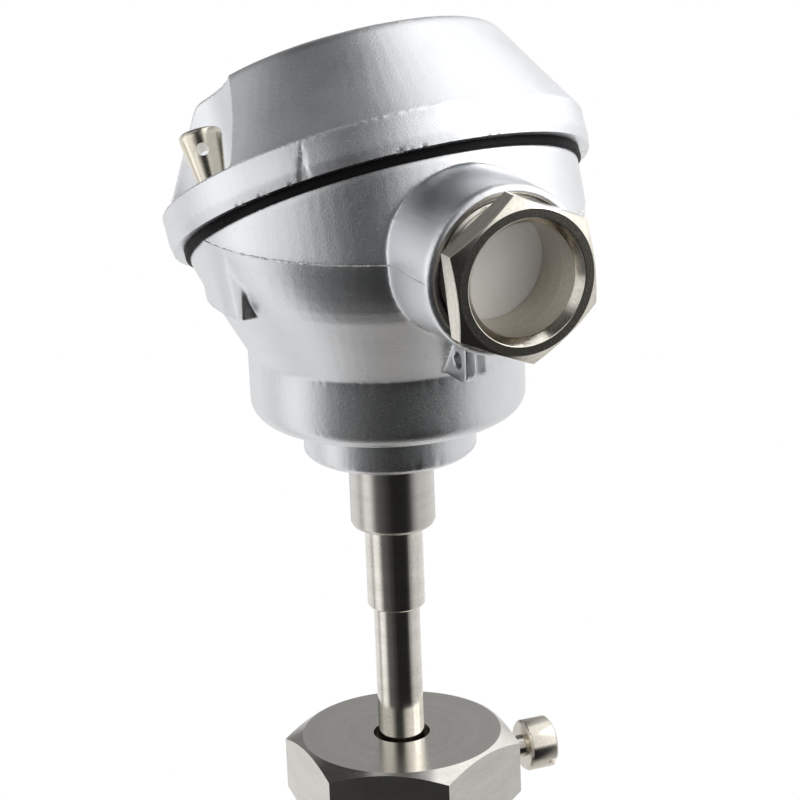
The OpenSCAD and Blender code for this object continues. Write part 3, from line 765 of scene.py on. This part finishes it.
def gland_blank():
    """The gland screw in its axis frame, in mm: hollow shank, hexagon, cone and rounded bore."""
    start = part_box("gland_screw")[0].x / MM
    flat, bore, face, cone = 12.25, 9.25, 52.0, 11.86
    shank, bar, shoulder = 11.2, 14.3, 47.8  # radii of shank and bar, and where the hexagon begins
    slope = math.tan(math.radians(30))
    mouth_edge = [(bore + 1.2, face), (bore + 1.08, face - 0.06), (bore + 0.14, face - 1.3),
                  (bore + 0.03, face - 1.5), (bore, face - 1.8)]
    profile = [*mouth_edge, (bore, start), (shank - 0.8, start), (shank, start + 0.8),
               (shank, shoulder), (bar, shoulder), (bar, face - (bar - cone) * slope), (cone, face)]
    bm = bmesh.new()
    turn = 5.6  # degrees from the X of the gland's axes to one corner of the hexagon
    first = math.radians(turn)
    verts = [bm.verts.new((r * math.cos(first), r * math.sin(first), z)) for r, z in profile]
    edges = [bm.edges.new((a, b)) for a, b in zip(verts, verts[1:] + verts[:1])]
    bmesh.ops.spin(bm, geom=[*verts, *edges], cent=(0, 0, 0), axis=(0, 0, 1), angle=math.tau,
                   steps=180, use_merge=True, use_duplicate=False)
    for v in bm.verts:
        radius = math.hypot(v.co.x, v.co.y)
        if radius > shank + 0.8:
            reach = hexagon_reach(v.co.x, v.co.y, flat, turn)
            v.co.x, v.co.y = v.co.x * reach / radius, v.co.y * reach / radius
            if v.co.z > shoulder + 0.2:
                v.co.z = face - (reach - cone) * slope
    bmesh.ops.remove_doubles(bm, verts=bm.verts, dist=1e-4)
    bmesh.ops.recalc_face_normals(bm, faces=bm.faces)
    break_edges(bm, 0.12, 40, 1)
    bmesh.ops.transform(bm, matrix=gland_axes @ Matrix.Scale(MM, 4), verts=bm.verts)
    return bm


gland_copy = gland_blank()
print("gland screw thread steps:", wind_thread(gland_copy, *THREADS["gland_screw"]))
stand_in("gland_screw", gland_copy, 18)

# %% [markdown]
# ## Gasket
# A rubber ring lies in the joint. The lid screws squeeze it between the two machined
# faces. A squash by scaling would move both faces at once, so instead each face of the
# copy is set to its own height, and then the corners are rounded with a bevel.

# %% Gasket
low_face, high_face = LIP + 0.03, RIM + 0.02  # a hair clear of the head, and pressed to the lid
gasket = merged("lid_gasket")
for v in gasket.verts:
    height = (v.co - mouth).dot(lid_axis) / MM
    v.co += lid_axis * ((low_face if height < 1 else high_face) - height) * MM
break_edges(gasket, 0.2 * MM)
stand_in("lid_gasket", gasket, 50)
print("gasket thickness in mm:", round(high_face - low_face, 2))

# %% [markdown]
# ## Turned and small parts
# Tubes, collars, posts, screws and leads come from a lathe or a wire coil, and the
# solids already have their form. Each needs a merged copy, smooth walls, a broken edge
# where light would catch it, and a thread where one is cut. Coarse round wires need a
# larger angle before an edge counts as sharp, or their facets would show.

# %% Turned and small parts
edge_breaks = {"neck_adapter": 0.2, "neck_sleeve": 0.15, "clamp_screw": 0.12}
sharp_over = {"lead_wires_red": 30, "lead_wires_white": 30, "block_springs": 40}
for source in finishes:
    if source in done:
        continue
    copy = merged(source)
    if source in edge_breaks:
        break_edges(copy, edge_breaks[source] * MM)
    if source in THREADS:
        print(source, "thread steps:", wind_thread(copy, *THREADS[source]))
    stand_in(source, copy, sharp_over.get(source, 20))
